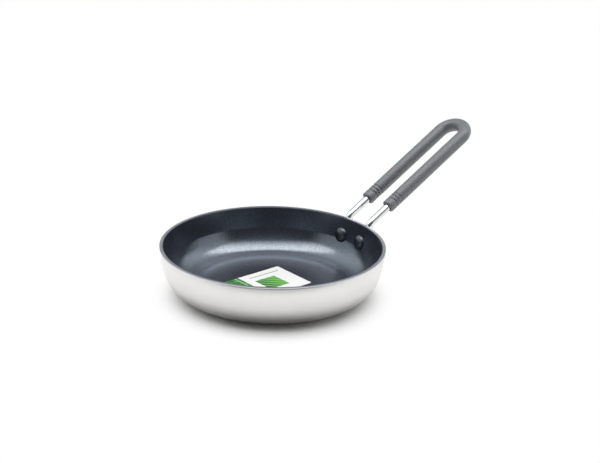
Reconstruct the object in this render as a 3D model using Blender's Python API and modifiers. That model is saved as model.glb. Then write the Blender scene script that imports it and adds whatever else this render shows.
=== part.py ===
"""One-egg frying pan with a riveted wire loop handle, in metres, +Z up.

The origin is the centre of the flat base, and the handle runs along +X.
"""
import math

import bmesh
import bpy
from mathutils import Matrix, Vector

# Clearances
GAP = 0.0003                            # between pieces that touch on the real pan
HEAD_GAP = 0.0004                       # under a rivet's flat inner head, on the hollow wall

# Pan
RIM_RADIUS = 0.0635
PAN_HEIGHT = 0.0272
SHEET = 0.0022                          # pressed sheet with its coating
COATING = 0.00035
WALL_TAPER = math.radians(9.0)          # from the vertical
CORNER_RADIUS = 0.0169                  # outside, between the wall and the base
LIP_HEIGHT = 0.0006                     # bare edge above the coating
RIM_ROUNDING = 0.0005
TURN_STEPS = 72
CORNER_STEPS = 9

# Handle wire
WIRE_RADIUS = 0.0022
LEG_SPACING = 0.0175                    # between the axes of the two legs
LEG_LENGTH = 0.0829                     # from the bend at the rim to the loop
LEG_RISE = math.radians(28.1)           # above the horizontal
RIM_BEND_RADIUS = 0.0050                # of the wire's axis
WIRE_SIDES = 20
NECK_STEPS = 8
RIM_BEND_STEPS = 8
LOOP_STEPS = 10                         # for a quarter turn

# Flattened and punched wire ends
PAD_RADIUS = 0.0050
PAD_THICKNESS = 0.0022
PAD_SQUARENESS = 4.0                    # exponent of the flattened section, 2 is an ellipse

# Rivets
RIVET_DROP = 0.0107                     # below the rim
SHANK_RADIUS = 0.0024
INNER_HEAD_RADIUS = 0.0044
INNER_HEAD_HEIGHT = 0.0018
OUTER_HEAD_RADIUS = 0.0038
OUTER_HEAD_HEIGHT = 0.0013
RIVET_STEPS = 28

# Grip sleeve
SLEEVE_RADIUS = 0.0039
SLEEVE_START = 0.0161                   # along the leg, from the bend at the rim
SLEEVE_END_ROUNDING = 0.0007
BORE_CHAMFER = 0.0003
GROOVE_COUNT = 3
GROOVE_START = 0.0048                   # first groove, from the sleeve's end
GROOVE_PITCH = 0.0022
GROOVE_WIDTH = 0.0011
GROOVE_DEPTH = 0.0003

# Paper label
LABEL_LENGTH = 0.0440
LABEL_WIDTH = 0.0305
LABEL_THICKNESS = 0.00025
LABEL_CORNER = 0.0010
LABEL_CENTRE_X = -0.0016
LABEL_CENTRE_Y = 0.0046

MERGE = 0.00001


def clear_scene():
    for obj in list(bpy.data.objects):
        bpy.data.objects.remove(obj, do_unlink=True)


def new_collection(name):
    collection = bpy.data.collections.new(name)
    bpy.context.scene.collection.children.link(collection)
    return collection


def principled(name, colour, roughness, metallic=0.0):
    material = bpy.data.materials.new(name)
    material.use_nodes = True
    shader = material.node_tree.nodes["Principled BSDF"]
    shader.inputs["Base Color"].default_value = (*colour, 1.0)
    shader.inputs["Roughness"].default_value = roughness
    shader.inputs["Metallic"].default_value = metallic
    material.diffuse_color = (*colour, 1.0)
    return material


def satin_aluminium():
    return principled("satin_aluminium", (0.80, 0.80, 0.79), 0.35, 1.0)


def ceramic_coating():
    return principled("ceramic_coating", (0.045, 0.053, 0.070), 0.35)


def polished_steel():
    return principled("polished_steel", (0.72, 0.72, 0.72), 0.12, 1.0)


def grey_silicone():
    return principled("grey_silicone", (0.24, 0.25, 0.26), 0.65)


def coated_rivet():
    return principled("coated_rivet", (0.020, 0.022, 0.028), 0.30)


def printed_paper():
    return principled("printed_paper", (0.85, 0.88, 0.84), 0.80)


def finish(obj, material):
    """Give an object its one material and smooth round faces."""
    obj.data.materials.clear()
    obj.data.materials.append(material)
    obj.data.shade_smooth()
    obj.data.set_sharp_from_angle(angle=math.radians(35))


def new_object(name, mesh, collection):
    obj = bpy.data.objects.new(name, mesh)
    collection.objects.link(obj)
    return obj


def arc(centre_x, centre_z, radius, start, end, steps):
    """Points of an arc in the XZ plane, angles from +X towards +Z."""
    points = []
    for i in range(steps + 1):
        angle = start + (end - start) * i / steps
        points.append((centre_x + radius * math.cos(angle), centre_z + radius * math.sin(angle)))
    return points


def turned(name, profile, steps, collection):
    """Turn a profile of (radius, height) about Z, its outer side running downwards."""
    mesh = bpy.data.meshes.new(name)
    vertices = [(x, 0.0, z) for x, z in profile]
    edges = [(i, i + 1) for i in range(len(profile) - 1)]
    mesh.from_pydata(vertices, edges, [])
    obj = new_object(name, mesh, collection)
    screw = obj.modifiers.new("turn", "SCREW")
    screw.steps = steps
    screw.render_steps = steps
    screw.use_merge_vertices = True
    screw.merge_threshold = MERGE
    screw.use_smooth_shade = True
    return obj


def cut(obj, cutter, name):
    """Take a cutter's shape out of an object."""
    boolean = obj.modifiers.new(name, "BOOLEAN")
    boolean.operation = "DIFFERENCE"
    boolean.solver = "EXACT"
    boolean.object = cutter
    return boolean


# Pan

def outer_radius(height):
    """Radius of the outside of the tapered wall at a height."""
    return RIM_RADIUS - (PAN_HEIGHT - height) * math.tan(WALL_TAPER)


def corner_centre_x():
    """Radius at which the corner's arc is centred, which is the flat base's radius too."""
    tangent_height = CORNER_RADIUS * (1 - math.sin(WALL_TAPER))
    return outer_radius(tangent_height) - CORNER_RADIUS * math.cos(WALL_TAPER)


def skin(depth, top):
    """Profile from the axis outwards and up to a height, a depth inside the outer surface."""
    points = [(0.0, depth)]
    points += arc(corner_centre_x(), CORNER_RADIUS, CORNER_RADIUS - depth,
                  -math.pi / 2, -WALL_TAPER, CORNER_STEPS)
    points.append((outer_radius(top) - depth / math.cos(WALL_TAPER), top))
    return points


def make_pan_body(collection):
    seat = SHEET - COATING - GAP
    under_lip = PAN_HEIGHT - LIP_HEIGHT
    inner_edge = RIM_RADIUS - SHEET / math.cos(WALL_TAPER)
    profile = skin(seat, under_lip)
    profile.append((outer_radius(under_lip) - SHEET / math.cos(WALL_TAPER), under_lip))
    profile += arc(inner_edge + RIM_ROUNDING, PAN_HEIGHT - RIM_ROUNDING, RIM_ROUNDING,
                   math.pi, math.pi / 2, 3)
    profile += arc(RIM_RADIUS - RIM_ROUNDING, PAN_HEIGHT - RIM_ROUNDING, RIM_ROUNDING,
                   math.pi / 2, 0.0, 3)
    profile += reversed(skin(0.0, PAN_HEIGHT)[:-1])
    return turned("pan_body", profile, TURN_STEPS, collection)


def make_lining(collection):
    top = PAN_HEIGHT - LIP_HEIGHT - GAP
    profile = skin(SHEET, top) + list(reversed(skin(SHEET - COATING, top)))
    return turned("nonstick_lining", profile, TURN_STEPS, collection)


# Handle

def wire_radius_at_rim():
    """Distance of the wire's axis from the pan's axis, level with the rim."""
    return RIM_RADIUS + (GAP + WIRE_RADIUS) / math.cos(WALL_TAPER)


def side_angle():
    """Angle round the pan between a wire leg's foot and the handle's middle."""
    return math.asin(LEG_SPACING / 2 / wire_radius_at_rim())


def wall_frame():
    """Directions at the left foot: round the pan, up along the wall, out of the wall."""
    angle = side_angle()
    round_pan = Vector((-math.sin(angle), math.cos(angle), 0.0))
    radial = Vector((math.cos(angle), math.sin(angle), 0.0))
    up_wall = radial * math.sin(WALL_TAPER) + Vector((0.0, 0.0, math.cos(WALL_TAPER)))
    outward = radial * math.cos(WALL_TAPER) - Vector((0.0, 0.0, math.sin(WALL_TAPER)))
    return round_pan, up_wall, outward


def rivet_point():
    """Point on the outside of the wall where the left rivet's axis passes."""
    angle = side_angle()
    height = PAN_HEIGHT - RIVET_DROP
    radius = outer_radius(height)
    return Vector((radius * math.cos(angle), radius * math.sin(angle), height))


def leg_direction():
    return Vector((math.cos(LEG_RISE), 0.0, math.sin(LEG_RISE)))


def rim_bend_corner():
    """Where the wire's wall part and its leg would meet without their bend."""
    angle = side_angle()
    radius = wire_radius_at_rim()
    return Vector((radius * math.cos(angle), radius * math.sin(angle), PAN_HEIGHT))


def ring(centre, across, thick, half_width, half_thickness, squareness):
    """Closed section of a swept piece, from an ellipse to a squarish flat shape."""
    points = []
    for i in range(WIRE_SIDES):
        angle = 2 * math.pi * i / WIRE_SIDES
        c = math.cos(angle)
        s = math.sin(angle)
        x = half_width * math.copysign(abs(c) ** (2 / squareness), c)
        y = half_thickness * math.copysign(abs(s) ** (2 / squareness), s)
        points.append(centre + across * x + thick * y)
    return points


def round_ring(centre, across, thick, radius):
    return ring(centre, across, thick, radius, radius, 2.0)


def smooth_step(t):
    return t * t * (3 - 2 * t)


def rim_bend_reach():
    """Length that the bend at the rim takes from the wire's wall part, and from its leg."""
    _, up_wall, _ = wall_frame()
    return RIM_BEND_RADIUS * math.tan(up_wall.angle(leg_direction()) / 2)


def pad_rings():
    """Flattened foot of the left leg, from its rounded lower end up to the bend at the rim."""
    round_pan, up_wall, outward = wall_frame()
    base = rivet_point()
    flat = PAD_THICKNESS / 2
    rings = []
    for degrees in (80, 60, 40, 20, 0):
        swing = math.radians(degrees)
        centre = base - up_wall * (PAD_RADIUS * math.sin(swing)) + outward * (GAP + flat)
        rings.append(ring(centre, -round_pan, outward, PAD_RADIUS * math.cos(swing), flat,
                          PAD_SQUARENESS))
    neck = (rim_bend_corner() - base).dot(up_wall) - rim_bend_reach()
    flat_top = OUTER_HEAD_RADIUS + GAP
    for i in range(1, NECK_STEPS + 1):
        height = neck * i / NECK_STEPS
        narrowing = smooth_step(height / neck)
        thickening = smooth_step(max(0.0, height - flat_top) / (neck - flat_top))
        half_width = PAD_RADIUS + (WIRE_RADIUS - PAD_RADIUS) * narrowing
        half_thickness = flat + (WIRE_RADIUS - flat) * thickening
        squareness = PAD_SQUARENESS + (2 - PAD_SQUARENESS) * thickening
        centre = base + up_wall * height + outward * (GAP + half_thickness)
        rings.append(ring(centre, -round_pan, outward, half_width, half_thickness, squareness))
    return rings


def rim_bend_rings():
    """Wire round the bend at the rim, after the foot's last ring."""
    _, up_wall, _ = wall_frame()
    leg = leg_direction()
    turn = up_wall.angle(leg)
    across = up_wall.cross(leg).normalized()
    to_centre = across.cross(up_wall).normalized()
    start = rim_bend_corner() - up_wall * rim_bend_reach()
    centre = start + to_centre * RIM_BEND_RADIUS
    rings = []
    for i in range(1, RIM_BEND_STEPS + 1):
        spin = Matrix.Rotation(turn * i / RIM_BEND_STEPS, 3, across)
        rings.append(round_ring(centre + spin @ (start - centre), -across, spin @ to_centre,
                                WIRE_RADIUS))
    return rings


def leg_point(distance):
    """Point on the left leg's axis, a distance from the bend's corner."""
    return rim_bend_corner() + leg_direction() * distance


def loop_stations():
    """Centres and outward directions from the end of the left leg to the loop's middle."""
    leg = leg_direction()
    half = LEG_SPACING / 2
    side = Vector((0.0, 1.0, 0.0))
    centre = leg_point(LEG_LENGTH) - side * half
    stations = []
    for i in range(LOOP_STEPS + 1):
        angle = math.pi / 2 * i / LOOP_STEPS
        outward = side * math.cos(angle) + leg * math.sin(angle)
        stations.append((centre + outward * half, outward))
    return stations


def leg_normal():
    """Direction square to the loop's plane, pointing up."""
    return Vector((-math.sin(LEG_RISE), 0.0, math.cos(LEG_RISE)))


def lofted_half(name, rings, closed_start, collection):
    """Skin over rings, mirrored in the plane y = 0, where the last ring lies."""
    mesh = bpy.data.meshes.new(name)
    work = bmesh.new()
    rows = [[work.verts.new(point) for point in points] for points in rings]
    for near, far in zip(rows, rows[1:]):
        for i in range(len(near)):
            j = (i + 1) % len(near)
            work.faces.new((near[i], near[j], far[j], far[i]))
    if closed_start:
        work.faces.new(list(reversed(rows[0])))
    work.to_mesh(mesh)
    work.free()
    obj = new_object(name, mesh, collection)
    mirror = obj.modifiers.new("mirror", "MIRROR")
    mirror.use_axis = (False, True, False)
    mirror.merge_threshold = MERGE
    return obj


def loop_rings(radius):
    """Rings from the end of the left leg to the loop's middle."""
    return [round_ring(centre, -outward, -leg_normal(), radius)
            for centre, outward in loop_stations()]


def make_handle_wire(collection):
    rings = pad_rings() + rim_bend_rings() + loop_rings(WIRE_RADIUS)
    return lofted_half("handle_wire", rings, True, collection)


# Grip sleeve

def sleeve_end_profile():
    """Distance from the sleeve's end and radius, from the bore to past the last groove."""
    bore = WIRE_RADIUS + GAP
    points = [(BORE_CHAMFER, bore), (0.0, bore + BORE_CHAMFER)]
    for i in range(4):
        angle = math.pi / 2 * i / 3
        points.append((SLEEVE_END_ROUNDING * (1 - math.cos(angle)),
                       SLEEVE_RADIUS - SLEEVE_END_ROUNDING * (1 - math.sin(angle))))
    for i in range(GROOVE_COUNT):
        middle = GROOVE_START + GROOVE_PITCH * i
        for share, depth in ((-0.5, 0.0), (-0.22, 1.0), (0.22, 1.0), (0.5, 0.0)):
            points.append((middle + GROOVE_WIDTH * share, SLEEVE_RADIUS - GROOVE_DEPTH * depth))
    return points


def make_grip_sleeve(collection):
    side = Vector((0.0, 1.0, 0.0))
    rings = list(reversed(loop_rings(WIRE_RADIUS + GAP)))
    for along, radius in sleeve_end_profile():
        rings.append(round_ring(leg_point(SLEEVE_START + along), -side, -leg_normal(), radius))
    rings += loop_rings(SLEEVE_RADIUS)
    return lofted_half("grip_sleeve", rings, False, collection)


# Rivets

def rivet_placement(side):
    """World matrix of a rivet, its local +Z out of the wall; side is 1 or -1 along Y."""
    _, _, outward = wall_frame()
    point = rivet_point()
    direction = Vector((outward.x, outward.y * side, outward.z))
    place = Vector((point.x, point.y * side, point.z))
    turn = direction.to_track_quat("Z", "Y").to_matrix().to_4x4()
    return Matrix.Translation(place) @ turn


def rivet_profile():
    """Radius and height, from the outer head's crown down to the inner head's."""
    outer_seat = GAP + PAD_THICKNESS + GAP
    inner_seat = -SHEET - HEAD_GAP
    points = []
    for i in range(5):
        angle = math.pi / 2 * i / 4
        points.append((OUTER_HEAD_RADIUS * math.sin(angle),
                       outer_seat + OUTER_HEAD_HEIGHT * math.cos(angle)))
    points.append((SHANK_RADIUS, outer_seat))
    points.append((SHANK_RADIUS, inner_seat))
    for i in range(6):
        angle = math.pi / 2 * (1 - i / 5)
        points.append((INNER_HEAD_RADIUS * math.sin(angle),
                       inner_seat - INNER_HEAD_HEIGHT * math.cos(angle)))
    return points


def make_rivet(name, side, collection):
    rivet = turned(name, rivet_profile(), RIVET_STEPS, collection)
    rivet.matrix_world = rivet_placement(side)
    return rivet


def make_rivet_hole_cutter(name, side, collection):
    """Cylinder through the wall and the pad, with clearance round the shank."""
    length = 4 * (SHEET + PAD_THICKNESS)
    mesh = bpy.data.meshes.new(name)
    work = bmesh.new()
    bmesh.ops.create_cone(work, cap_ends=True, segments=RIVET_STEPS,
                          radius1=SHANK_RADIUS + GAP, radius2=SHANK_RADIUS + GAP, depth=length)
    work.to_mesh(mesh)
    work.free()
    cutter = new_object(name, mesh, collection)
    cutter.matrix_world = rivet_placement(side)
    cutter.hide_render = True
    cutter.display_type = "WIRE"
    return cutter


# Paper label

def make_label(collection):
    mesh = bpy.data.meshes.new("paper_label")
    work = bmesh.new()
    bmesh.ops.create_cube(work, size=1.0)
    bmesh.ops.scale(work, vec=(LABEL_LENGTH, LABEL_WIDTH, LABEL_THICKNESS), verts=work.verts)
    upright = [edge for edge in work.edges
               if abs(edge.verts[0].co.z - edge.verts[1].co.z) > LABEL_THICKNESS / 2]
    bmesh.ops.bevel(work, geom=upright, offset=LABEL_CORNER, segments=4, affect="EDGES",
                    profile=0.5)
    work.to_mesh(mesh)
    work.free()
    label = new_object("paper_label", mesh, collection)
    label.location = (LABEL_CENTRE_X, LABEL_CENTRE_Y, SHEET + GAP + LABEL_THICKNESS / 2)
    return label


def build():
    clear_scene()
    parts = new_collection("egg_pan")
    cutters = new_collection("egg_pan_cutters")
    body = make_pan_body(parts)
    lining = make_lining(parts)
    wire = make_handle_wire(parts)
    sleeve = make_grip_sleeve(parts)
    rivets = [make_rivet("rivet_left", 1, parts), make_rivet("rivet_right", -1, parts)]
    label = make_label(parts)
    for name, side in (("left_rivet_hole", 1), ("right_rivet_hole", -1)):
        cutter = make_rivet_hole_cutter(name, side, cutters)
        for obj in (body, lining, wire):
            cut(obj, cutter, name)
    finish(body, satin_aluminium())
    finish(lining, ceramic_coating())
    finish(wire, polished_steel())
    finish(sleeve, grey_silicone())
    coated = coated_rivet()
    for rivet in rivets:
        finish(rivet, coated)
    finish(label, printed_paper())


build()
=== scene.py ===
import math

import bmesh
import bpy
from mathutils import Matrix, Vector


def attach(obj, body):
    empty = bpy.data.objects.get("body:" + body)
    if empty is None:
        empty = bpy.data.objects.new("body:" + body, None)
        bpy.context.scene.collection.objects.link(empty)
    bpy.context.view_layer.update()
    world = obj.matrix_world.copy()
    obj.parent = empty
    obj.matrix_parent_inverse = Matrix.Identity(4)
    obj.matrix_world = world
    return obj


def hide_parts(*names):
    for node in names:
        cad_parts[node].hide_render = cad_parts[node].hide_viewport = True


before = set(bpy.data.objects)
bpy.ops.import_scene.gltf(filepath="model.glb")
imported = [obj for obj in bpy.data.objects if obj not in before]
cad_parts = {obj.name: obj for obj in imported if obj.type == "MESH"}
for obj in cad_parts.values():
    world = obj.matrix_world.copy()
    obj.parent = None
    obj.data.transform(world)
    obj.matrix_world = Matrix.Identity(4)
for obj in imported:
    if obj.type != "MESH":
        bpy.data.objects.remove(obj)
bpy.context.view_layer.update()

# Picture
PICTURE = (600, 463)
FOCAL_PIXELS = 1600.0
CAMERA_DISTANCE = 0.89815               # from the middle of the rim
CAMERA_AZIMUTH = math.radians(-40.85)
CAMERA_ELEVATION = math.radians(20.87)
CAMERA_ROLL = math.radians(1.40)
RIM_MIDDLE_PIXEL = (272.83, 244.50)

# Pan
RIM_RADIUS = 0.0635
PAN_HEIGHT = 0.0272
SHEET = 0.0022
COATING = 0.00035
COAT_BED = 0.00002                      # hidden gap between the coating and its metal
CORNER_RADIUS = 0.0169
WALL_LOW_TAPER = math.radians(13.0)     # from the vertical, where the wall leaves the corner
WALL_TOP_TAPER = math.radians(6.5)
LIP_HEIGHT = 0.00025                    # of the bare rim over the coating's edge
OUTER_ROUNDING = 0.0003                 # of the rim's outer edge
BOW_TOP_START = 0.0185                  # the wall's shading bows a little more than its shape
BOW_TOP = 22.0
BOW_LOW_START = 0.0180
BOW_LOW = 8.0
RIM_TONE_DEPTH = 0.00034                # how far the rim's duller tone and its painted shade go down its rounding
RIM_TONE_SOFTNESS = 0.00006
RIM_LIT_TOP = (0.00008, 0.00001)            # depths between which its top's painted light begins
RIM_BARE_WIDTH = 0.0017                 # of bare metal; the coating's edge lies inside it
RIM_BARE_SOFTNESS = 0.0002
OVERSPRAY_TOP = (0.0011, 0.0010)        # depths below the rim, sprayed inside above them
INNER_ROUNDING = 0.0002                 # of the rim's inner edge
TURN_STEPS = 224
CORNER_STEPS = 72
RIM_STEPS = (5, 6)                      # round the rim's inner and outer edge
WALL_STEPS = 18
INNER_STEPS = (16, 60, 20)
FLOOR_STEPS = 40
RING_RADIUS = 0.0430                    # of a glossier ring in the lining, round the floor
RING_WIDTH = 0.0030
RING_SOFTNESS = 0.0012
RING_GLOSS = 0.38                       # added to the lining's shine
RING_SMOOTHNESS = 0.05                  # taken from its roughness
DULL_FLOOR = (0.0368, 0.0425)           # the lining is duller inside these radii
DULL_SHARE = 0.25                       # of its shine that is left there
FLOOR_CURVE_RADIUS = 0.070              # the cooking floor curves up gently at its edge
FLOOR_CURVE_TURN = math.radians(5.0)    # to this slope
INNER_CORNER_RADIUS = 0.0147            # of the corner's tight part
INNER_CORNER_TURN = math.radians(62.0)  # slope where it opens out
CREASE_SLOPE = math.radians(71.0)       # slope where it meets the wall in a faint crease
CREASE_HEIGHT = 0.0149
INNER_TAPER = math.radians(11.2)        # of the straight wall above the crease

# Handle wire
SEAT = 0.00006                          # between pieces that are pressed together
WALL_TAPER = math.radians(9.0)          # of the CAD model's straight wall
WIRE_RADIUS = 0.0022
WIRE_GAP = 0.0003
LEG_SPACING = 0.0175
LEG_LENGTH = 0.0829
LEG_RISE = math.radians(28.1)
RIM_BEND_RADIUS = 0.0050
WIRE_SIDES = 48
NECK_STEPS = 24
RIM_BEND_STEPS = 20
LOOP_STEPS = 36
PAD_RADIUS = 0.0050
PAD_THICKNESS = 0.0022
PAD_SQUARENESS = 4.0
PAD_END_TURNS = (84, 74, 64, 54, 44, 34, 24, 12, 0)  # degrees of its rounded lower end

# Rivets
RIVET_DROP = 0.0107
SHANK_RADIUS = 0.0024
INNER_HEAD_RADIUS = 0.0044
INNER_HEAD_HEIGHT = 0.0018
INNER_SEAT_SHIFT = 0.0003               # the dressed wall is this much fuller there
OUTER_HEAD_RADIUS = 0.0038
OUTER_HEAD_HEIGHT = 0.0013
RIVET_STEPS = 72
HEAD_SHAPE = (0.9, 1.05)                # exponents of a dome, 1 and 1 are an ellipse
INNER_HEAD_STEPS = 18
OUTER_HEAD_STEPS = 14
HOLE_SIDES = 40

# Grip sleeve
SLEEVE_RADIUS = 0.00386
SLEEVE_START = 0.0161
SLEEVE_SIDES = 64
END_ROUNDING = 0.0008
END_STEPS = 7
BORE_CHAMFER = 0.0004
GROOVE_COUNT = 3
GROOVE_START = 0.0048
GROOVE_PITCH = 0.0022
GROOVE_WIDTH = 0.0013
GROOVE_DEPTH = 0.00045
GROOVE_STEPS = 12

# Paper label
LABEL_LENGTH = 0.0440
LABEL_WIDTH = 0.0305
LABEL_THICKNESS = 0.0002
LABEL_CORNER = 0.0010
LABEL_CENTRE = (-0.0016, 0.0046)
LABEL_STEPS = (66, 46)
LABEL_LIFT = 0.00015                    # of its far right corner off the floor
LIFT_WEIGHTS = (0.7, 0.3)               # how far along and across count towards that corner
LIFT_START = 0.55                       # where it begins, the corner itself is 1
LIFT_LENGTH = 0.45
LABEL_BAND = 0.0145                     # green end of the label
BAND_SHADE = (0.004, 0.028)             # it darkens across the label between these places
BAND_LINE = (0.0026, 0.0018)            # a pale line, from the band's edge
BLOCK_ALONG = (0.0195, 0.0335)          # of the striped block, from the label's green end
BLOCK_ACROSS = (0.0070, 0.0210)
STRIPE_TURN = 0.0022                    # half the stripes' pitch, measured along and across
STRIPE_EDGE = (0.0014, 0.0018)          # where in it the pale stripe begins
RULE_ALONG = (0.0195, 0.0405)           # of the thin rule above the block
RULE_ACROSS = (0.0255, 0.0261)
PRINT_SOFTNESS = 0.00012

# Colours
METAL_COLOURS = ((0.83, 0.82, 0.80), (0.77, 0.76, 0.74), (0.74, 0.735, 0.72))
RIM_SHADED_AND_LIT_COLOURS = ((0.42, 0.427, 0.455), (0.60, 0.61, 0.65))  # of its rounding, darker as painted shade, and of its top, lighter as painted light
OVERSPRAY_COLOUR = (0.06, 0.065, 0.085)
LINING_COLOURS = ((0.031, 0.033, 0.046), (0.027, 0.029, 0.041))
FLAKE_COLOUR = (0.09, 0.10, 0.125)
LINING_TINT = (0.80, 0.89, 1.0)         # of its shine
WIRE_COLOURS = ((0.80, 0.80, 0.80), (0.72, 0.72, 0.725))
SLEEVE_COLOURS = ((0.150, 0.161, 0.170), (0.168, 0.179, 0.188))
RIVET_COLOURS = ((0.006, 0.007, 0.010), (0.012, 0.013, 0.018))
RIVET_TINT = (0.84, 0.91, 1.0)
PAPER_COLOURS = ((0.96, 0.965, 0.95), (0.92, 0.925, 0.91))
BAND_COLOURS = ((0.035, 0.30, 0.045), (0.022, 0.18, 0.032))
SPECKLE_COLOURS = ((0.30, 0.62, 0.24), (0.008, 0.085, 0.014))
BAND_LINE_COLOUR = (0.42, 0.70, 0.30)
BLOCK_COLOURS = ((0.012, 0.12, 0.016), (0.09, 0.42, 0.05))
STRIPE_COLOUR = (0.34, 0.66, 0.22)
RULE_COLOUR = (0.05, 0.22, 0.06)
FLOOR_COLOUR = (0.93, 0.93, 0.93)
WHITE = (1.0, 1.0, 1.0)

# Studio
# What gloss shows: an overhead panel, measured on a plane 1 above by the distances to the
# right, to the left and towards the camera between which its edges rise and fall
PANEL_LEVEL = 4.4
PANEL_RIGHT = (1.20, 0.85)
PANEL_LEFT = (-1.65, -0.80)
PANEL_BACK = (-0.37, -0.16)
PANEL_FRONT = (0.95, -0.10)
PANEL_SLANTS = (0.20, 0.12)             # of the back edge and of the front edge
PANEL_CURVE = 0.12                      # bends the back edge away at both ends
PANEL_CURVE_END = 0.4                   # square of the distance from which it bends no more
PANEL_BEND_END = 0.45                   # from here on to the right the back edge runs straight
SKY_LEVEL = (0.16, 0.30)                # straight behind the pan, low down and higher up
SKY_SIDES = (0.62, 0.76)                # more at both sides
SKY_BACK_SIDES = (1.6, 1.25)            # and there, still more behind the pan
SKY_LOW_TURN = (-0.95, -0.60)           # cosines from the camera's side where low ones rise
SKY_TINT = (0.97, 1.05, 1.09)           # of that sky, the panel is white
PANEL_EDGE = (1.2, 2.4)                 # levels between which the one turns into the other
SKY_RISE = (0.25, 0.60)                 # sines of the height between low down and higher up
DARK_LEVEL = (0.08, 0.30)               # low down and higher up
DARK_RISE = (0.40, 0.75)                # sines of the height between them
DARK_SIDE = math.radians(3.0)           # middle of the unlit side, to the right of the camera
DARK_HALF_WIDTH = math.radians(54.0)
DARK_SOFTNESS = math.radians(9.0)
# What everything else gets: a softer lamp overhead and a lit wall behind the pan
LAMP_LEVEL = 3.7
LAMP_ACROSS = (1.30, -0.20)             # falls from the second distance to the first
LAMP_AHEAD = (0.75, 0.10)
WALL_LEVEL = 1.9
WALL_UPPER_LEVEL = 0.75
WALL_TURN = (0.55, -0.85)               # cosines from the camera's side where the wall rises
WALL_TOP = (0.34, 0.59)                 # sines of the height where it dims
FLOOR_SIZE = 12.0
FLOOR_DROP = 0.0001                     # below the surface that the pan stands on
SHADOW_SHIFT = (0.0010, 0.0072)         # of the shadow's middle: right, towards the camera
SHADOW_FADE = (0.047, 0.071)            # radii between which the camera's floor goes white
MIRRORED_FADE = (0.13, 0.24)            # the same for the mirrored floor

# Small limits
ON_AXIS = 1e-7                          # a profile's radius below this is on the axis
MERGE = 0.00001                         # joins the points of mirrored halves
SHARP_ANGLE = math.radians(38.0)        # edges from this angle on are shaded sharp
AXIS_SOFTENING = 0.0005                 # keeps the turned lines from meeting in a point
HORIZON = 0.02                          # lowest sine at which the overhead plane is met
STRAIGHT_UP = 0.0001                    # shortest level part of a direction


# Camera

def camera_axes():
    """The camera's right, down and forward directions."""
    a, e, r = CAMERA_AZIMUTH, CAMERA_ELEVATION, CAMERA_ROLL
    right = Vector((math.cos(a), math.sin(a), 0.0))
    level = Vector((-math.sin(a), math.cos(a), 0.0))
    forward = level * math.cos(e) - Vector((0.0, 0.0, math.sin(e)))
    down = forward.cross(right)
    return (right * math.cos(r) - down * math.sin(r),
            right * math.sin(r) + down * math.cos(r), forward)


def make_camera():
    """Camera that sees the rim's middle at its place in the picture."""
    right, down, forward = camera_axes()
    x = (RIM_MIDDLE_PIXEL[0] - PICTURE[0] / 2) / FOCAL_PIXELS
    y = (RIM_MIDDLE_PIXEL[1] - PICTURE[1] / 2) / FOCAL_PIXELS
    ray = (forward + right * x + down * y).normalized()
    place = Vector((0.0, 0.0, PAN_HEIGHT)) - ray * CAMERA_DISTANCE
    data = bpy.data.cameras.new("photo_camera")
    data.sensor_width = 36.0
    data.lens = FOCAL_PIXELS * data.sensor_width / PICTURE[0]
    data.clip_start = 0.01
    data.clip_end = 50.0
    camera = bpy.data.objects.new("photo_camera", data)
    bpy.context.scene.collection.objects.link(camera)
    turn = Matrix((right, -down, -forward)).transposed().to_4x4()
    camera.matrix_world = Matrix.Translation(place) @ turn
    bpy.context.scene.camera = camera


# Node trees

def put(tree, kind, values=None, **settings):
    """Add a node; values sets or links its inputs by name or number."""
    node = tree.nodes.new(kind)
    for name, value in settings.items():
        setattr(node, name, value)
    for key, value in (values or {}).items():
        if isinstance(value, bpy.types.NodeSocket):
            tree.links.new(value, node.inputs[key])
        else:
            node.inputs[key].default_value = value
    return node


def maths(tree, operation, *values):
    node = put(tree, "ShaderNodeMath", dict(enumerate(values)), operation=operation)
    return node.outputs[0]


def vector_maths(tree, operation, *values):
    node = put(tree, "ShaderNodeVectorMath", dict(enumerate(values)), operation=operation)
    return node.outputs[0]


def step(tree, value, low, high):
    """Smooth rise from 0 at low to 1 at high; a fall from 1 to 0 where high is below low."""
    swap = high < low
    start, end = (high, low) if swap else (low, high)
    node = put(tree, "ShaderNodeMapRange",
               {"Value": value, "From Min": start, "From Max": end,
                "To Min": 1.0 if swap else 0.0, "To Max": 0.0 if swap else 1.0},
               interpolation_type="SMOOTHSTEP")
    return node.outputs["Result"]


def within(tree, value, low, high, soft):
    """1 between low and high, 0 outside."""
    return maths(tree, "MULTIPLY", step(tree, value, low - soft, low + soft),
                 step(tree, value, high + soft, high - soft))


def spread(tree, value, low, high):
    """Stretch a 0 to 1 value to low to high."""
    node = put(tree, "ShaderNodeMapRange", {"Value": value, "To Min": low, "To Max": high})
    return node.outputs["Result"]


def pick(tree, choice, first, second):
    """first where choice is 0, second where it is 1."""
    node = put(tree, "ShaderNodeMix", {0: choice, 2: first, 3: second}, data_type="FLOAT")
    return node.outputs[0]


def mix(tree, factor, first, second):
    """Mix two colours."""
    first = (*first, 1.0) if isinstance(first, tuple) else first
    second = (*second, 1.0) if isinstance(second, tuple) else second
    node = put(tree, "ShaderNodeMix", {0: factor, 6: first, 7: second}, data_type="RGBA")
    return node.outputs[2]


def noise(tree, vector, scale, detail=2.0, roughness=0.5):
    node = put(tree, "ShaderNodeTexNoise",
               {"Vector": vector, "Scale": scale, "Detail": detail, "Roughness": roughness})
    return node.outputs["Fac"]


def cells(tree, vector, scale):
    """A random value for each small cell."""
    node = put(tree, "ShaderNodeTexVoronoi", {"Vector": vector, "Scale": scale})
    return put(tree, "ShaderNodeSeparateColor", {0: node.outputs["Color"]}).outputs[0]


def bump(tree, height, distance, normal=None):
    """Normal over a relief; height times distance is in metres."""
    values = {"Height": height, "Distance": distance, "Strength": 1.0}
    if normal is not None:
        values["Normal"] = normal
    return put(tree, "ShaderNodeBump", values).outputs["Normal"]


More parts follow.
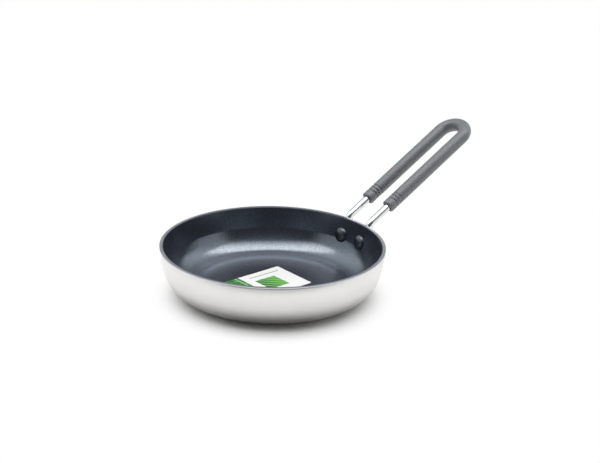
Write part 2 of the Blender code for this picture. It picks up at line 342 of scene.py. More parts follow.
def level_length(tree, x, y):
    """Length of the level part of a vector."""
    return maths(tree, "SQRT", maths(tree, "ADD", maths(tree, "MULTIPLY", x, x),
                                     maths(tree, "MULTIPLY", y, y)))


def place_of(tree):
    """Coordinates of the point in the CAD frame."""
    return put(tree, "ShaderNodeTexCoord").outputs["Object"]


def turned_place(tree):
    """Distance from the pan's axis, height, and a vector whose noise runs round the axis."""
    x, y, z = put(tree, "ShaderNodeSeparateXYZ", {0: place_of(tree)}).outputs
    radius = level_length(tree, x, y)
    softened = maths(tree, "ADD", radius, AXIS_SOFTENING)
    millimetres = maths(tree, "MULTIPLY", maths(tree, "ADD", radius, z), 1000.0)
    lines = put(tree, "ShaderNodeCombineXYZ",
                {0: maths(tree, "DIVIDE", x, softened),
                 1: maths(tree, "DIVIDE", y, softened),
                 2: millimetres})
    return radius, z, lines.outputs[0]


def new_material(name):
    """A material, its node tree and its shader."""
    material = bpy.data.materials.new(name)
    material.use_nodes = True
    tree = material.node_tree
    return material, tree, tree.nodes["Principled BSDF"]


def feed(tree, shader, **inputs):
    """Set or link the shader's inputs; underscores in names stand for spaces."""
    for name, value in inputs.items():
        socket = shader.inputs[name.replace("_", " ")]
        if isinstance(value, bpy.types.NodeSocket):
            tree.links.new(value, socket)
        else:
            socket.default_value = (*value, 1.0) if isinstance(value, tuple) else value


# Materials

def satin_aluminium():
    """Bare pressed aluminium with fine turned lines, and a duller machined rim with painted
    shade on its rounding and painted light on its top.
    """
    material, tree, shader = new_material("satin_aluminium")
    radius, height, lines = turned_place(tree)
    fine = noise(tree, vector_maths(tree, "MULTIPLY", lines, (2.0, 2.0, 9.0)), 1.0, 3.0)
    broad = noise(tree, vector_maths(tree, "MULTIPLY", lines, (1.5, 1.5, 0.9)), 1.0, 2.0)
    cloud = noise(tree, place_of(tree), 90.0, 2.0)
    metal = mix(tree, spread(tree, fine, 0.0, 0.6), *METAL_COLOURS[:2])
    metal = mix(tree, spread(tree, cloud, 0.0, 0.35), metal, METAL_COLOURS[2])
    tone_end = PAN_HEIGHT - RIM_TONE_DEPTH
    on_rim = step(tree, height, tone_end, tone_end + RIM_TONE_SOFTNESS)
    # painted light and shade: the rim's top is coloured lighter and its rounding darker
    lit_rim_top = step(tree, height, *(PAN_HEIGHT - depth for depth in RIM_LIT_TOP))
    rim_tone_and_shade = mix(tree, lit_rim_top, *RIM_SHADED_AND_LIT_COLOURS)
    sprayed = RIM_RADIUS - RIM_BARE_WIDTH
    overspray = maths(tree, "MULTIPLY",
                      step(tree, height, *(PAN_HEIGHT - depth for depth in OVERSPRAY_TOP)),
                      step(tree, radius, sprayed, sprayed - RIM_BARE_SOFTNESS))
    colour = mix(tree, on_rim, metal, rim_tone_and_shade)
    colour = mix(tree, overspray, colour, OVERSPRAY_COLOUR)
    rolled = maths(tree, "MAXIMUM", maths(tree, "SUBTRACT", height, BOW_TOP_START), 0.0)
    tucked = maths(tree, "MAXIMUM", maths(tree, "SUBTRACT", BOW_LOW_START, height), 0.0)
    bow = maths(tree, "ADD",
                maths(tree, "MULTIPLY", maths(tree, "POWER", rolled, 2.0), BOW_TOP),
                maths(tree, "MULTIPLY", maths(tree, "POWER", tucked, 2.0), BOW_LOW))
    relief = bump(tree, fine, 0.000004)
    relief = bump(tree, broad, 0.00002, normal=relief)
    relief = bump(tree, maths(tree, "MULTIPLY", bow, -1.0), 1.0, normal=relief)
    feed(tree, shader, Base_Color=colour, Metallic=1.0, Normal=relief, Anisotropic=0.3,
         Roughness=spread(tree, cloud, 0.34, 0.42),
         Tangent=put(tree, "ShaderNodeTangent", direction_type="RADIAL", axis="Z").outputs[0])
    return material


def ceramic_nonstick():
    """Dark blue-grey ceramic coating: glossy, with fine metal flakes and a sprayed surface."""
    material, tree, shader = new_material("ceramic_nonstick")
    place = place_of(tree)
    flakes = cells(tree, place, 3600.0)
    cloud = noise(tree, place, 60.0, 2.0)
    colour = mix(tree, spread(tree, cloud, 0.0, 0.5), *LINING_COLOURS)
    colour = mix(tree, maths(tree, "MULTIPLY", step(tree, flakes, 0.75, 0.95), 0.35), colour,
                 FLAKE_COLOUR)
    peel = noise(tree, place, 1600.0, 2.0)
    grit = noise(tree, place, 4200.0, 1.0)
    sparkle = noise(tree, place, 1900.0, 3.0, 0.7)
    radius, _, lines = turned_place(tree)
    ring = within(tree, radius, RING_RADIUS - RING_WIDTH / 2, RING_RADIUS + RING_WIDTH / 2,
                  RING_SOFTNESS)
    combed = noise(tree, vector_maths(tree, "MULTIPLY", lines, (60.0, 60.0, 0.12)), 1.0, 2.0)
    grain = maths(tree, "ADD", spread(tree, sparkle, -0.12, 0.62),
                  spread(tree, combed, 0.13, 0.37))
    gloss = maths(tree, "MULTIPLY",
                  spread(tree, step(tree, radius, *DULL_FLOOR), DULL_SHARE, 1.0),
                  maths(tree, "MAXIMUM", grain, 0.0))
    relief = bump(tree, peel, 0.000030)
    relief = bump(tree, grit, 0.000003, normal=relief)
    relief = bump(tree, combed, 0.00005, normal=relief)
    feed(tree, shader, Base_Color=colour, IOR=2.35, Specular_Tint=LINING_TINT, Normal=relief,
         Roughness=maths(tree, "SUBTRACT", spread(tree, cloud, 0.14, 0.20),
                         maths(tree, "MULTIPLY", ring, RING_SMOOTHNESS)),
         Specular_IOR_Level=maths(tree, "MULTIPLY_ADD", ring, RING_GLOSS, gloss))
    return material


def bright_steel():
    """Polished drawn wire."""
    material, tree, shader = new_material("bright_steel")
    place = put(tree, "ShaderNodeTexCoord").outputs["UV"]
    drawn = noise(tree, vector_maths(tree, "MULTIPLY", place, (60.0, 1.2, 1.0)), 1.0, 2.0)
    cloud = noise(tree, place_of(tree), 300.0, 2.0)
    feed(tree, shader, Base_Color=mix(tree, drawn, *WIRE_COLOURS), Metallic=1.0,
         Roughness=spread(tree, cloud, 0.08, 0.15), Normal=bump(tree, drawn, 0.000003))
    return material


def grey_silicone():
    """Matte moulded silicone."""
    material, tree, shader = new_material("grey_silicone")
    place = place_of(tree)
    skin_grain = noise(tree, place, 5200.0, 2.0)
    cloud = noise(tree, place, 180.0, 3.0)
    feed(tree, shader, Base_Color=mix(tree, cloud, *SLEEVE_COLOURS), IOR=1.70,
         Sheen_Weight=0.10, Sheen_Roughness=0.4, Roughness=spread(tree, cloud, 0.42, 0.52),
         Normal=bump(tree, skin_grain, 0.000002))
    return material


def coated_rivet():
    """Rivet head under the same coating as the pan."""
    material, tree, shader = new_material("coated_rivet")
    place = place_of(tree)
    cloud = noise(tree, place, 900.0, 2.0)
    peel = noise(tree, place, 1800.0, 2.0)
    feed(tree, shader, Base_Color=mix(tree, cloud, *RIVET_COLOURS), IOR=1.95,
         Specular_Tint=RIVET_TINT, Roughness=spread(tree, cloud, 0.25, 0.31),
         Normal=bump(tree, peel, 0.000010))
    return material


def box(tree, x, y, along_label, across_label):
    """1 inside a printed box, 0 outside."""
    return maths(tree, "MULTIPLY", within(tree, x, *along_label, PRINT_SOFTNESS),
                 within(tree, y, *across_label, PRINT_SOFTNESS))


def printed_paper():
    """White label with a green end and a block of slanting green stripes."""
    material, tree, shader = new_material("printed_paper")
    place = place_of(tree)
    x, y, _ = put(tree, "ShaderNodeSeparateXYZ", {0: place}).outputs
    x = maths(tree, "SUBTRACT", x, LABEL_CENTRE[0] - LABEL_LENGTH / 2)
    y = maths(tree, "SUBTRACT", y, LABEL_CENTRE[1] - LABEL_WIDTH / 2)
    fibres = noise(tree, place, 1500.0, 3.0)
    speckle = noise(tree, place, 700.0, 3.0, 0.7)
    paper = mix(tree, fibres, *PAPER_COLOURS)
    band = step(tree, x, LABEL_BAND + PRINT_SOFTNESS, LABEL_BAND - PRINT_SOFTNESS)
    green_end = mix(tree, step(tree, y, *BAND_SHADE), *BAND_COLOURS)
    green_end = mix(tree, step(tree, speckle, 0.52, 0.70), green_end, SPECKLE_COLOURS[0])
    green_end = mix(tree, step(tree, speckle, 0.45, 0.30), green_end, SPECKLE_COLOURS[1])
    colour = mix(tree, band, paper, green_end)
    line = within(tree, x, *(LABEL_BAND - inset for inset in BAND_LINE), PRINT_SOFTNESS)
    colour = mix(tree, line, colour, BAND_LINE_COLOUR)
    slant = maths(tree, "PINGPONG", maths(tree, "ADD", x, y), STRIPE_TURN)
    ink = mix(tree, step(tree, x, *BLOCK_ALONG), *BLOCK_COLOURS)
    ink = mix(tree, step(tree, slant, *STRIPE_EDGE), ink, STRIPE_COLOUR)
    colour = mix(tree, box(tree, x, y, BLOCK_ALONG, BLOCK_ACROSS), colour, ink)
    colour = mix(tree, box(tree, x, y, RULE_ALONG, RULE_ACROSS), colour, RULE_COLOUR)
    feed(tree, shader, Base_Color=colour, Roughness=0.45, Normal=bump(tree, fibres, 0.000006))
    return material


def white_floor():
    """Plain white floor that keeps the pan's shadow and fades into the white background."""
    material, tree, shader = new_material("white_floor")
    tree.nodes.remove(shader)
    paint = put(tree, "ShaderNodeBsdfDiffuse", {"Color": (*FLOOR_COLOUR, 1.0)})
    white = put(tree, "ShaderNodeEmission", {"Color": (*WHITE, 1.0), "Strength": 1.0})
    right, near = SHADOW_SHIFT
    sine, cosine = math.sin(CAMERA_AZIMUTH), math.cos(CAMERA_AZIMUTH)
    shift = (right * cosine + near * sine, right * sine - near * cosine, 0.0)
    from_shadow = put(tree, "ShaderNodeVectorMath", {0: place_of(tree), 1: shift},
                      operation="DISTANCE").outputs["Value"]
    ray = put(tree, "ShaderNodeLightPath").outputs
    mirrored = maths(tree, "MAXIMUM", ray["Is Glossy Ray"], ray["Is Transmission Ray"])
    fade = maths(tree, "ADD",
                 maths(tree, "MULTIPLY", ray["Is Camera Ray"],
                       step(tree, from_shadow, *SHADOW_FADE)),
                 maths(tree, "MULTIPLY", mirrored, step(tree, from_shadow, *MIRRORED_FADE)))
    shown = put(tree, "ShaderNodeMixShader",
                {0: fade, 1: paint.outputs[0], 2: white.outputs[0]})
    tree.links.new(shown.outputs[0], tree.nodes["Material Output"].inputs["Surface"])
    return material


# Meshes

def add_object(name, mesh):
    obj = bpy.data.objects.new(name, mesh)
    bpy.context.scene.collection.objects.link(obj)
    return obj


def dress(obj, material, node):
    """Give a piece its material and let it stand for its CAD node."""
    obj.data.materials.clear()
    obj.data.materials.append(material)
    obj.data.shade_smooth()
    obj.data.set_sharp_from_angle(angle=SHARP_ANGLE)
    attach(obj, "root")
    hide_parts(node)


def arc(centre_x, centre_z, radius, start, end, steps):
    """Points of an arc in the XZ plane, angles from +X towards +Z."""
    points = []
    for i in range(steps + 1):
        angle = start + (end - start) * i / steps
        points.append((centre_x + radius * math.cos(angle),
                       centre_z + radius * math.sin(angle)))
    return points


def turned(name, profile, steps):
    """Turn a profile of (radius, height) about Z, its outer side running downwards."""
    mesh = bpy.data.meshes.new(name)
    work = bmesh.new()
    rows = []
    for radius, height in profile:
        if radius < ON_AXIS:
            rows.append([work.verts.new((0.0, 0.0, height))] * steps)
        else:
            turn = [2 * math.pi * k / steps for k in range(steps)]
            rows.append([work.verts.new((radius * math.cos(t), radius * math.sin(t), height))
                         for t in turn])
    for near, far in zip(rows, rows[1:]):
        for k in range(steps):
            j = (k + 1) % steps
            corners = []
            for vertex in (near[k], far[k], far[j], near[j]):
                if vertex not in corners:
                    corners.append(vertex)
            work.faces.new(corners)
    bmesh.ops.recalc_face_normals(work, faces=work.faces)
    work.to_mesh(mesh)
    work.free()
    return add_object(name, mesh)


def apply_modifiers(obj):
    """Bake the object's modifiers into its mesh."""
    depsgraph = bpy.context.evaluated_depsgraph_get()
    mesh = bpy.data.meshes.new_from_object(obj.evaluated_get(depsgraph))
    obj.modifiers.clear()
    obj.data = mesh


# Pan

def smooth_step(t):
    """Smooth rise from 0 at 0 to 1 at 1."""
    t = min(max(t, 0.0), 1.0)
    return t * t * (3 - 2 * t)


def wall_arc():
    """Centre and radius of the slightly bowed outer wall."""
    rise = PAN_HEIGHT - CORNER_RADIUS * (1 - math.sin(WALL_LOW_TAPER))
    radius = rise / (math.sin(WALL_LOW_TAPER) - math.sin(WALL_TOP_TAPER))
    return (RIM_RADIUS - radius * math.cos(WALL_TOP_TAPER),
            PAN_HEIGHT + radius * math.sin(WALL_TOP_TAPER), radius)


def corner_centre_x():
    """Distance from the axis to the centre of the outer corner's rounding."""
    centre_x, _, radius = wall_arc()
    return centre_x + (radius - CORNER_RADIUS) * math.cos(WALL_LOW_TAPER)


def skin(depth, top):
    """Profile from the axis outwards and up to a height, a depth inside the outer surface."""
    middle = corner_centre_x()
    points = [(middle * i / FLOOR_STEPS, depth) for i in range(FLOOR_STEPS)]
    points += arc(middle, CORNER_RADIUS, CORNER_RADIUS - depth, -math.pi / 2, -WALL_LOW_TAPER,
                  CORNER_STEPS)[:-1]
    centre_x, centre_z, radius = wall_arc()
    end = math.asin((top - centre_z) / (radius - depth))
    points += arc(centre_x, centre_z, radius - depth, -WALL_LOW_TAPER, end, WALL_STEPS)
    return points


def inner_arcs():
    """Three arcs from the flat cooking floor to the crease: centre, radius, first slope."""
    edge = skin(SHEET, PAN_HEIGHT)[-1][0]
    crease_x = edge - (PAN_HEIGHT - CREASE_HEIGHT) * math.tan(INNER_TAPER)
    tight_z = (SHEET + FLOOR_CURVE_RADIUS * (1 - math.cos(FLOOR_CURVE_TURN))
               + INNER_CORNER_RADIUS * math.cos(FLOOR_CURVE_TURN))
    rise = CREASE_HEIGHT - tight_z + INNER_CORNER_RADIUS * math.cos(INNER_CORNER_TURN)
    wide_radius = rise / (math.cos(INNER_CORNER_TURN) - math.cos(CREASE_SLOPE))
    wide_x = crease_x - wide_radius * math.sin(CREASE_SLOPE)
    wide_z = CREASE_HEIGHT + wide_radius * math.cos(CREASE_SLOPE)
    tight_x = wide_x + (wide_radius - INNER_CORNER_RADIUS) * math.sin(INNER_CORNER_TURN)
    floor_x = tight_x - (FLOOR_CURVE_RADIUS - INNER_CORNER_RADIUS) * math.sin(FLOOR_CURVE_TURN)
    return ((floor_x, SHEET + FLOOR_CURVE_RADIUS, FLOOR_CURVE_RADIUS, 0.0),
            (tight_x, tight_z, INNER_CORNER_RADIUS, FLOOR_CURVE_TURN),
            (wide_x, wide_z, wide_radius, INNER_CORNER_TURN))


def inner_skin(depth, top):
    """Profile of the inside from the axis out and up to a height, a depth below its face."""
    arcs = inner_arcs()
    points = [(arcs[0][0] * i / FLOOR_STEPS, SHEET - depth) for i in range(FLOOR_STEPS)]
    ends = (FLOOR_CURVE_TURN, INNER_CORNER_TURN, CREASE_SLOPE)
    for (x, z, radius, start), end, steps in zip(arcs, ends, INNER_STEPS):
        points += arc(x, z, radius + depth, start - math.pi / 2, end - math.pi / 2, steps)[:-1]
    edge = skin(SHEET, PAN_HEIGHT)[-1][0] + depth / math.cos(INNER_TAPER)
    for i in range(WALL_STEPS + 1):
        height = CREASE_HEIGHT + (top - CREASE_HEIGHT) * i / WALL_STEPS
        points.append((edge - (PAN_HEIGHT - height) * math.tan(INNER_TAPER), height))
    return points


def make_shell():
    """Pressed metal of the pan, under the coating on its inside."""
    top = PAN_HEIGHT - LIP_HEIGHT - COAT_BED
    inner_edge = skin(SHEET, PAN_HEIGHT)[-1][0]
    profile = inner_skin(COATING + COAT_BED, top)
    profile.append((inner_skin(0.0, top)[-1][0], top))
    profile += arc(inner_edge + INNER_ROUNDING, PAN_HEIGHT - INNER_ROUNDING, INNER_ROUNDING,
                   math.pi, math.pi / 2, RIM_STEPS[0])
    profile += arc(RIM_RADIUS - OUTER_ROUNDING, PAN_HEIGHT - OUTER_ROUNDING, OUTER_ROUNDING,
                   math.pi / 2, 0.0, RIM_STEPS[1])
    profile += reversed(skin(0.0, PAN_HEIGHT - OUTER_ROUNDING)[:-1])
    return turned("pan_shell", profile, TURN_STEPS)


def make_inner_coat():
    """Coating on the inside, a closed shell of its own."""
    top = PAN_HEIGHT - LIP_HEIGHT - 2 * COAT_BED
    profile = inner_skin(0.0, top) + list(reversed(inner_skin(COATING, top)))
    return turned("inner_coat", profile, TURN_STEPS)


# Handle

def outer_radius(height):
    """Radius of the CAD model's straight tapered wall at a height."""
    return RIM_RADIUS - (PAN_HEIGHT - height) * math.tan(WALL_TAPER)


def wire_radius_at_rim():
    """Distance of the wire's axis from the pan's axis, level with the rim."""
    return RIM_RADIUS + (WIRE_GAP + WIRE_RADIUS) / math.cos(WALL_TAPER)


def side_angle():
    """Angle round the pan between a wire leg's foot and the handle's middle."""
    return math.asin(LEG_SPACING / 2 / wire_radius_at_rim())


def wall_frame():
    """Directions at the left foot: round the pan, up along the wall, out of the wall."""
    angle = side_angle()
    round_pan = Vector((-math.sin(angle), math.cos(angle), 0.0))
    radial = Vector((math.cos(angle), math.sin(angle), 0.0))
    up_wall = radial * math.sin(WALL_TAPER) + Vector((0.0, 0.0, math.cos(WALL_TAPER)))
    outward = radial * math.cos(WALL_TAPER) - Vector((0.0, 0.0, math.sin(WALL_TAPER)))
    return round_pan, up_wall, outward


def rivet_point():
    """Point on the outside of the wall where the left rivet's axis passes."""
    angle = side_angle()
    height = PAN_HEIGHT - RIVET_DROP
    radius = outer_radius(height)
    return Vector((radius * math.cos(angle), radius * math.sin(angle), height))


def leg_direction():
    return Vector((math.cos(LEG_RISE), 0.0, math.sin(LEG_RISE)))


def leg_normal():
    """Direction square to the loop's plane, pointing up."""
    return Vector((-math.sin(LEG_RISE), 0.0, math.cos(LEG_RISE)))


def rim_bend_corner():
    """Where the wire's wall part and its leg would meet without their bend."""
    angle = side_angle()
    radius = wire_radius_at_rim()
    return Vector((radius * math.cos(angle), radius * math.sin(angle), PAN_HEIGHT))


def rim_bend_reach():
    """Length that the bend at the rim takes from the wire's wall part, and from its leg."""
    _, up_wall, _ = wall_frame()
    return RIM_BEND_RADIUS * math.tan(up_wall.angle(leg_direction()) / 2)


def ring(centre, across, thick, half_width, half_thickness, squareness=2.0, sides=WIRE_SIDES):
    """Closed section of a swept piece, from an ellipse to a squarish flat shape."""
    points = []
    for i in range(sides):
        angle = 2 * math.pi * i / sides
        c = math.cos(angle)
        s = math.sin(angle)
        x = half_width * math.copysign(abs(c) ** (2 / squareness), c)
        y = half_thickness * math.copysign(abs(s) ** (2 / squareness), s)
        points.append(centre + across * x + thick * y)
    return points


def pad_rings():
    """Flattened foot of the left leg, from its rounded lower end up to the bend at the rim."""
    round_pan, up_wall, outward = wall_frame()
    base = rivet_point()
    flat = PAD_THICKNESS / 2
    rings = []
    for degrees in PAD_END_TURNS:
        swing = math.radians(degrees)
        centre = base - up_wall * (PAD_RADIUS * math.sin(swing)) + outward * (SEAT + flat)
        rings.append(ring(centre, -round_pan, outward, PAD_RADIUS * math.cos(swing), flat,
                          PAD_SQUARENESS))
    neck = (rim_bend_corner() - base).dot(up_wall) - rim_bend_reach()
    flat_top = OUTER_HEAD_RADIUS + WIRE_GAP
    for i in range(1, NECK_STEPS + 1):
        height = neck * i / NECK_STEPS
        thickening = smooth_step((height - flat_top) / (neck - flat_top))
        half_width = PAD_RADIUS + (WIRE_RADIUS - PAD_RADIUS) * smooth_step(height / neck)
        half_thickness = flat + (WIRE_RADIUS - flat) * thickening
        squareness = PAD_SQUARENESS + (2 - PAD_SQUARENESS) * thickening
        seat = SEAT + (WIRE_GAP - SEAT) * thickening
        centre = base + up_wall * height + outward * (seat + half_thickness)
        rings.append(ring(centre, -round_pan, outward, half_width, half_thickness, squareness))
    return rings


def rim_bend_rings():
    """Wire round the bend at the rim, after the foot's last ring."""
    _, up_wall, _ = wall_frame()
    leg = leg_direction()
    turn = up_wall.angle(leg)
    across = up_wall.cross(leg).normalized()
    to_centre = across.cross(up_wall).normalized()
    start = rim_bend_corner() - up_wall * rim_bend_reach()
    centre = start + to_centre * RIM_BEND_RADIUS
    rings = []
    for i in range(1, RIM_BEND_STEPS + 1):
        spin = Matrix.Rotation(turn * i / RIM_BEND_STEPS, 3, across)
        rings.append(ring(centre + spin @ (start - centre), -across, spin @ to_centre,
                          WIRE_RADIUS, WIRE_RADIUS))
    return rings


def leg_point(distance):
    """Point on the left leg's axis, a distance from the bend's corner."""
    return rim_bend_corner() + leg_direction() * distance


def loop_rings(radius, sides=WIRE_SIDES):
    """Rings from the end of the left leg to the loop's middle."""
    leg = leg_direction()
    half = LEG_SPACING / 2
    side = Vector((0.0, 1.0, 0.0))
    centre = leg_point(LEG_LENGTH) - side * half
    rings = []
    for i in range(LOOP_STEPS + 1):
        angle = math.pi / 2 * i / LOOP_STEPS
        outward = side * math.cos(angle) + leg * math.sin(angle)
        rings.append(ring(centre + outward * half, -outward, -leg_normal(), radius, radius,
                          sides=sides))
    return rings


def lofted_half(name, rings, closed_start):
    """Skin over rings, mirrored in the plane y = 0; UV is round and along, in centimetres."""
    mesh = bpy.data.meshes.new(name)
    work = bmesh.new()
    rows = [[work.verts.new(point) for point in points] for points in rings]
    layer = work.loops.layers.uv.new("sweep")
    along = 0.0
    for near, far in zip(rows, rows[1:]):
        length = sum((b.co - a.co).length for a, b in zip(near, far)) / len(near)
        for i in range(len(near)):
            j = (i + 1) % len(near)
            face = work.faces.new((near[i], near[j], far[j], far[i]))
            places = ((i, along), (i + 1, along), (i + 1, along + length), (i, along + length))
            for loop, (u, v) in zip(face.loops, places):
                loop[layer].uv = (u / len(near), v * 100.0)
        along += length
    if closed_start:
        work.faces.new(list(reversed(rows[0])))
    work.to_mesh(mesh)
    work.free()
    obj = add_object(name, mesh)
    mirror = obj.modifiers.new("mirror", "MIRROR")
    mirror.use_axis = (False, True, False)
    mirror.merge_threshold = MERGE
    apply_modifiers(obj)
    return obj


def make_wire():
    """The whole bent wire with its two flattened feet."""
    rings = pad_rings() + rim_bend_rings() + loop_rings(WIRE_RADIUS)
    return lofted_half("loop_wire", rings, True)


def sleeve_end_profile():
    """Distance from the sleeve's end and radius, from the bore to past the last groove."""
    bore = WIRE_RADIUS + WIRE_GAP
    points = [(BORE_CHAMFER, bore), (BORE_CHAMFER / 4, bore + BORE_CHAMFER / 4),
              (0.0, bore + BORE_CHAMFER)]
    for i in range(END_STEPS + 1):
        angle = math.pi / 2 * i / END_STEPS
        points.append((END_ROUNDING * (1 - math.cos(angle)),
                       SLEEVE_RADIUS - END_ROUNDING * (1 - math.sin(angle))))
    for i in range(GROOVE_COUNT):
        middle = GROOVE_START + GROOVE_PITCH * i
        for k in range(GROOVE_STEPS + 1):
            share = k / GROOVE_STEPS - 0.5
            dip = GROOVE_DEPTH * (1 + math.cos(2 * math.pi * share)) / 2
            points.append((middle + GROOVE_WIDTH * share, SLEEVE_RADIUS - dip))
    return points


def make_sleeve():
    """Tube over the wire: its bore, its two grooved ends and its outside in one skin."""
    side = Vector((0.0, 1.0, 0.0))
    rings = list(reversed(loop_rings(WIRE_RADIUS + WIRE_GAP, SLEEVE_SIDES)))
    for along, radius in sleeve_end_profile():
        rings.append(ring(leg_point(SLEEVE_START + along), -side, -leg_normal(),
                          radius, radius, sides=SLEEVE_SIDES))
    rings += loop_rings(SLEEVE_RADIUS, SLEEVE_SIDES)
    return lofted_half("grip_tube", rings, False)


# Rivets

def rivet_placement(side):
    """World matrix of a rivet, its local +Z out of the wall; side is 1 or -1 along Y."""
    _, _, outward = wall_frame()
    point = rivet_point()
    direction = Vector((outward.x, outward.y * side, outward.z))
    turn = direction.to_track_quat("Z", "Y").to_matrix().to_4x4()
    return Matrix.Translation((point.x, point.y * side, point.z)) @ turn


def head(radius, height, steps):
    """Quarter of a domed head with a softened edge: radius and height above its seat."""
    points = []
    for i in range(steps + 1):
        angle = math.pi / 2 * i / steps
        points.append((radius * math.sin(angle) ** HEAD_SHAPE[0],
                       height * math.cos(angle) ** HEAD_SHAPE[1]))
    return points


def make_rivet(name, side):
    """Solid rivet with both heads, heights measured out of the wall."""
    outer_seat = SEAT + PAD_THICKNESS + SEAT
    inner_seat = -SHEET - SEAT - INNER_SEAT_SHIFT
    outer = head(OUTER_HEAD_RADIUS, OUTER_HEAD_HEIGHT, OUTER_HEAD_STEPS)
    inner = head(INNER_HEAD_RADIUS, INNER_HEAD_HEIGHT, INNER_HEAD_STEPS)
    profile = [(r, outer_seat + h) for r, h in outer]
    profile += [(SHANK_RADIUS, outer_seat), (SHANK_RADIUS, inner_seat)]
    profile += [(r, inner_seat - h) for r, h in reversed(inner)]
    rivet = turned(name, profile, RIVET_STEPS)
    rivet.data.transform(rivet_placement(side))
    return rivet


def cut_rivet_holes(pieces):
    """Take the rivets' holes out of the pieces that they pass."""
    radius = SHANK_RADIUS + SEAT
    cutters = []
    for side in (1, -1):
        mesh = bpy.data.meshes.new("hole")
        work = bmesh.new()
        bmesh.ops.create_cone(work, cap_ends=True, segments=HOLE_SIDES, radius1=radius,
                              radius2=radius, depth=4 * (SHEET + PAD_THICKNESS))
        work.to_mesh(mesh)
        work.free()
        cutter = add_object("hole", mesh)
        cutter.matrix_world = rivet_placement(side)
        cutters.append(cutter)
    bpy.context.view_layer.update()
    for piece in pieces:
        for cutter in cutters:
            boolean = piece.modifiers.new("hole", "BOOLEAN")
            boolean.operation = "DIFFERENCE"
            boolean.solver = "EXACT"
            boolean.object = cutter
        apply_modifiers(piece)
    for cutter in cutters:
        bpy.data.objects.remove(cutter, do_unlink=True)


# Label

def make_label():
    """Thin sheet with rounded corners that lies on the cooking floor."""
    mesh = bpy.data.meshes.new("paper_tag")
    work = bmesh.new()
    bmesh.ops.create_grid(work, x_segments=LABEL_STEPS[0], y_segments=LABEL_STEPS[1],
                          size=0.5)
    half_x = LABEL_LENGTH / 2
    half_y = LABEL_WIDTH / 2
    for vertex in work.verts:
        x = vertex.co.x * LABEL_LENGTH
        y = vertex.co.y * LABEL_WIDTH
        over_x = abs(x) - (half_x - LABEL_CORNER)
        over_y = abs(y) - (half_y - LABEL_CORNER)
        if over_x > 0 and over_y > 0:
            pull = max(over_x, over_y) / math.hypot(over_x, over_y)
            x = math.copysign(half_x - LABEL_CORNER + over_x * pull, x)
            y = math.copysign(half_y - LABEL_CORNER + over_y * pull, y)
        reach = x / half_x * LIFT_WEIGHTS[0] + y / half_y * LIFT_WEIGHTS[1]
        lift = LABEL_LIFT * smooth_step((reach - LIFT_START) / LIFT_LENGTH)
        vertex.co = (LABEL_CENTRE[0] + x, LABEL_CENTRE[1] + y,
                     SHEET + SEAT + LABEL_THICKNESS + lift)
    work.to_mesh(mesh)
    work.free()
    label = add_object("paper_tag", mesh)
    solid = label.modifiers.new("thickness", "SOLIDIFY")
    solid.thickness = LABEL_THICKNESS
    solid.offset = -1.0
    apply_modifiers(label)
    return label


# Studio

def make_floor():
    """Large plain floor just under the pan."""
    mesh = bpy.data.meshes.new("floor")
    half = FLOOR_SIZE / 2
    corners = [(-half, -half), (half, -half), (half, half), (-half, half)]
    mesh.from_pydata([(x, y, 0.0) for x, y in corners], [], [(0, 1, 2, 3)])
    floor = add_object("floor", mesh)
    floor.location.z = -FLOOR_DROP
    mesh.materials.append(white_floor())


def along(tree, x, y, angle):
    """Part of a direction that points at an angle to the right of the camera."""
    turn = CAMERA_AZIMUTH + angle
    return maths(tree, "ADD", maths(tree, "MULTIPLY", x, math.sin(turn)),
                 maths(tree, "MULTIPLY", y, -math.cos(turn)))


def overhead_place(tree, x, y, z):
    """Where a direction meets a plane 1 above: distance right and towards the camera."""
    up = maths(tree, "MAXIMUM", z, HORIZON)
    return (maths(tree, "DIVIDE", along(tree, x, y, math.pi / 2), up),
            maths(tree, "DIVIDE", along(tree, x, y, 0.0), up))


def heading(tree, x, y, angle):
    """Cosine of the turn between a direction and an angle to the right of the camera."""
    flat = maths(tree, "MAXIMUM", level_length(tree, x, y), STRAIGHT_UP)
    return maths(tree, "DIVIDE", along(tree, x, y, angle), flat)


def gloss_level(tree, x, y, z):
    """Studio as gloss shows it: a long panel overhead and a sky with one unlit side."""
    side, ahead = overhead_place(tree, x, y, z)
    bent = maths(tree, "MINIMUM", side, PANEL_BEND_END)
    square = maths(tree, "MINIMUM", maths(tree, "MULTIPLY", bent, bent), PANEL_CURVE_END)
    back = maths(tree, "MULTIPLY_ADD", bent, PANEL_SLANTS[0], ahead)
    back = maths(tree, "ADD", back, maths(tree, "MULTIPLY", square, PANEL_CURVE))
    front = maths(tree, "MULTIPLY_ADD", side, PANEL_SLANTS[1], ahead)
    panel = maths(tree, "MULTIPLY", step(tree, side, *PANEL_RIGHT),
                  step(tree, side, *PANEL_LEFT))
    panel = maths(tree, "MULTIPLY", panel, step(tree, back, *PANEL_BACK))
    panel = maths(tree, "MULTIPLY", panel, step(tree, front, *PANEL_FRONT))
    lit = step(tree, heading(tree, x, y, DARK_SIDE), math.cos(DARK_HALF_WIDTH - DARK_SOFTNESS),
               math.cos(DARK_HALF_WIDTH + DARK_SOFTNESS))
    sideways = heading(tree, x, y, math.pi / 2)
    raised = step(tree, z, *SKY_RISE)
    ahead_turn = heading(tree, x, y, 0.0)
    behind = maths(tree, "MAXIMUM", maths(tree, "MULTIPLY", ahead_turn, -1.0), 0.0)
    low_sides, high_sides = (maths(tree, "MULTIPLY_ADD", behind, more, level)
                             for more, level in zip(SKY_BACK_SIDES, SKY_SIDES))
    low_sides = maths(tree, "MULTIPLY", step(tree, ahead_turn, *SKY_LOW_TURN), low_sides)
    sides = pick(tree, raised, low_sides, high_sides)
    glow = maths(tree, "MULTIPLY_ADD", maths(tree, "MULTIPLY", sideways, sideways), sides,
                 spread(tree, raised, *SKY_LEVEL))
    unlit = spread(tree, step(tree, z, *DARK_RISE), *DARK_LEVEL)
    walls = maths(tree, "MAXIMUM", maths(tree, "MULTIPLY", lit, glow), unlit)
    return maths(tree, "MAXIMUM", walls, maths(tree, "MULTIPLY", panel, PANEL_LEVEL))


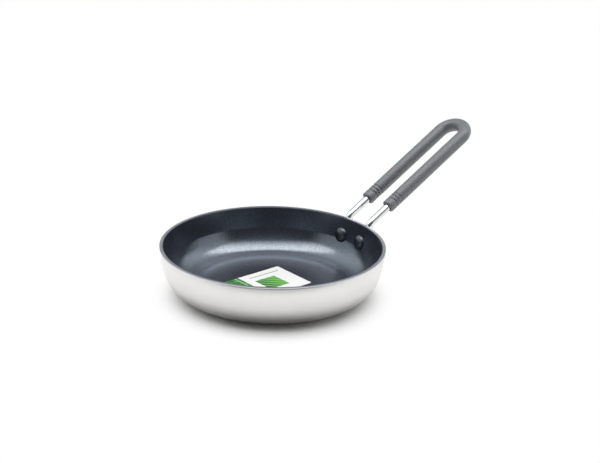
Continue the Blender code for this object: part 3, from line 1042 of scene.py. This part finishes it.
def light_level(tree, x, y, z):
    """Studio as soft light comes from it: a lamp overhead and a lit wall behind the pan."""
    side, ahead = overhead_place(tree, x, y, z)
    lamp = maths(tree, "MULTIPLY", step(tree, maths(tree, "ABSOLUTE", side), *LAMP_ACROSS),
                 step(tree, maths(tree, "ABSOLUTE", ahead), *LAMP_AHEAD))
    wall = step(tree, heading(tree, x, y, 0.0), *WALL_TURN)
    height = spread(tree, step(tree, z, *WALL_TOP), WALL_LEVEL, WALL_UPPER_LEVEL)
    return maths(tree, "ADD", maths(tree, "MULTIPLY", lamp, LAMP_LEVEL),
                 maths(tree, "MULTIPLY", wall, height))


def make_sky():
    """Studio light; the camera sees its background white."""
    world = bpy.data.worlds.new("studio")
    bpy.context.scene.world = world
    world.use_nodes = True
    tree = world.node_tree
    background = tree.nodes["Background"]
    place = put(tree, "ShaderNodeTexCoord").outputs["Generated"]
    direction = put(tree, "ShaderNodeSeparateXYZ", {0: place}).outputs
    ray = put(tree, "ShaderNodeLightPath").outputs
    mirrored = gloss_level(tree, *direction)
    tint = mix(tree, step(tree, mirrored, *PANEL_EDGE), SKY_TINT, WHITE)
    tint = mix(tree, ray["Is Glossy Ray"], WHITE, tint)
    level = pick(tree, ray["Is Glossy Ray"], light_level(tree, *direction), mirrored)
    level = pick(tree, ray["Is Camera Ray"], level, 1.0)
    tree.links.new(tint, background.inputs["Color"])
    tree.links.new(level, background.inputs["Strength"])


def build():
    """Make every piece, dress it and light it."""
    make_camera()
    shell = make_shell()
    coat = make_inner_coat()
    wire = make_wire()
    cut_rivet_holes((shell, coat, wire))
    dress(shell, satin_aluminium(), "pan_body")
    dress(coat, ceramic_nonstick(), "nonstick_lining")
    dress(wire, bright_steel(), "handle_wire")
    dress(make_sleeve(), grey_silicone(), "grip_sleeve")
    rivet_paint = coated_rivet()
    dress(make_rivet("handle_rivet_left", 1), rivet_paint, "rivet_left")
    dress(make_rivet("handle_rivet_right", -1), rivet_paint, "rivet_right")
    dress(make_label(), printed_paper(), "paper_label")
    make_floor()
    make_sky()
    bpy.context.scene.view_settings.view_transform = "Standard"
    bpy.context.view_layer.update()


build()
